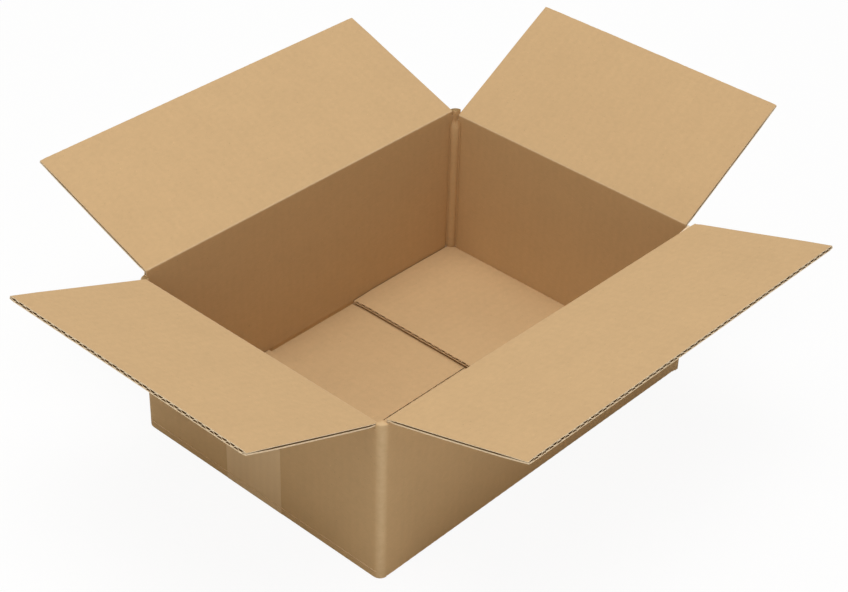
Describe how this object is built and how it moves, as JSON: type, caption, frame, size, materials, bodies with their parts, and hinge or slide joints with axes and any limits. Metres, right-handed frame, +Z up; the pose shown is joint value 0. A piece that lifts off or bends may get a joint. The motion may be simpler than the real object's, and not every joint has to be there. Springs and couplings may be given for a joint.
{
  "type": "open cardboard box",
  "caption": "Open slotted carton of corrugated board, with hinged top flaps and a bottom taped shut.",
  "frame": {"origin": "middle of the underside, on the face that the box rests on", "axes": "+X along the long walls, towards the short wall with the glued lap; +Y towards the long wall away from the lap; +Z up, out of the open top"},
  "size_m": [0.4884, 0.4177, 0.172],
  "materials": {
    "board": "plain brown kraft liner, matte",
    "tape": "thin see-through packing tape, buff, satin"
  },
  "bodies": {
    "carton": {"carton": "board", "tape": "tape"},
    "front_flap": {"top_flap_front": "board"},
    "right_flap": {"top_flap_right": "board"},
    "back_flap": {"top_flap_back": "board"},
    "left_flap": {"top_flap_left": "board"}
  },
  "joints": [
    {"name": "front_crease", "type": "hinge", "parent": "carton", "child": "front_flap", "pos_m": [0, -0.1075, 0.12], "axis": [1, 0, 0], "range_deg": [-164.4, 100]},
    {"name": "right_crease", "type": "hinge", "parent": "carton", "child": "right_flap", "pos_m": [0.149, 0, 0.1169], "axis": [0, 1, 0], "range_deg": [-150.1, 114.3]},
    {"name": "back_crease", "type": "hinge", "parent": "carton", "child": "back_flap", "pos_m": [0, 0.1075, 0.12], "axis": [-1, 0, 0], "range_deg": [-160, 104.4]},
    {"name": "left_crease", "type": "hinge", "parent": "carton", "child": "left_flap", "pos_m": [-0.149, 0, 0.1169], "axis": [0, -1, 0], "range_deg": [-159.6, 104.8]}
  ]
}
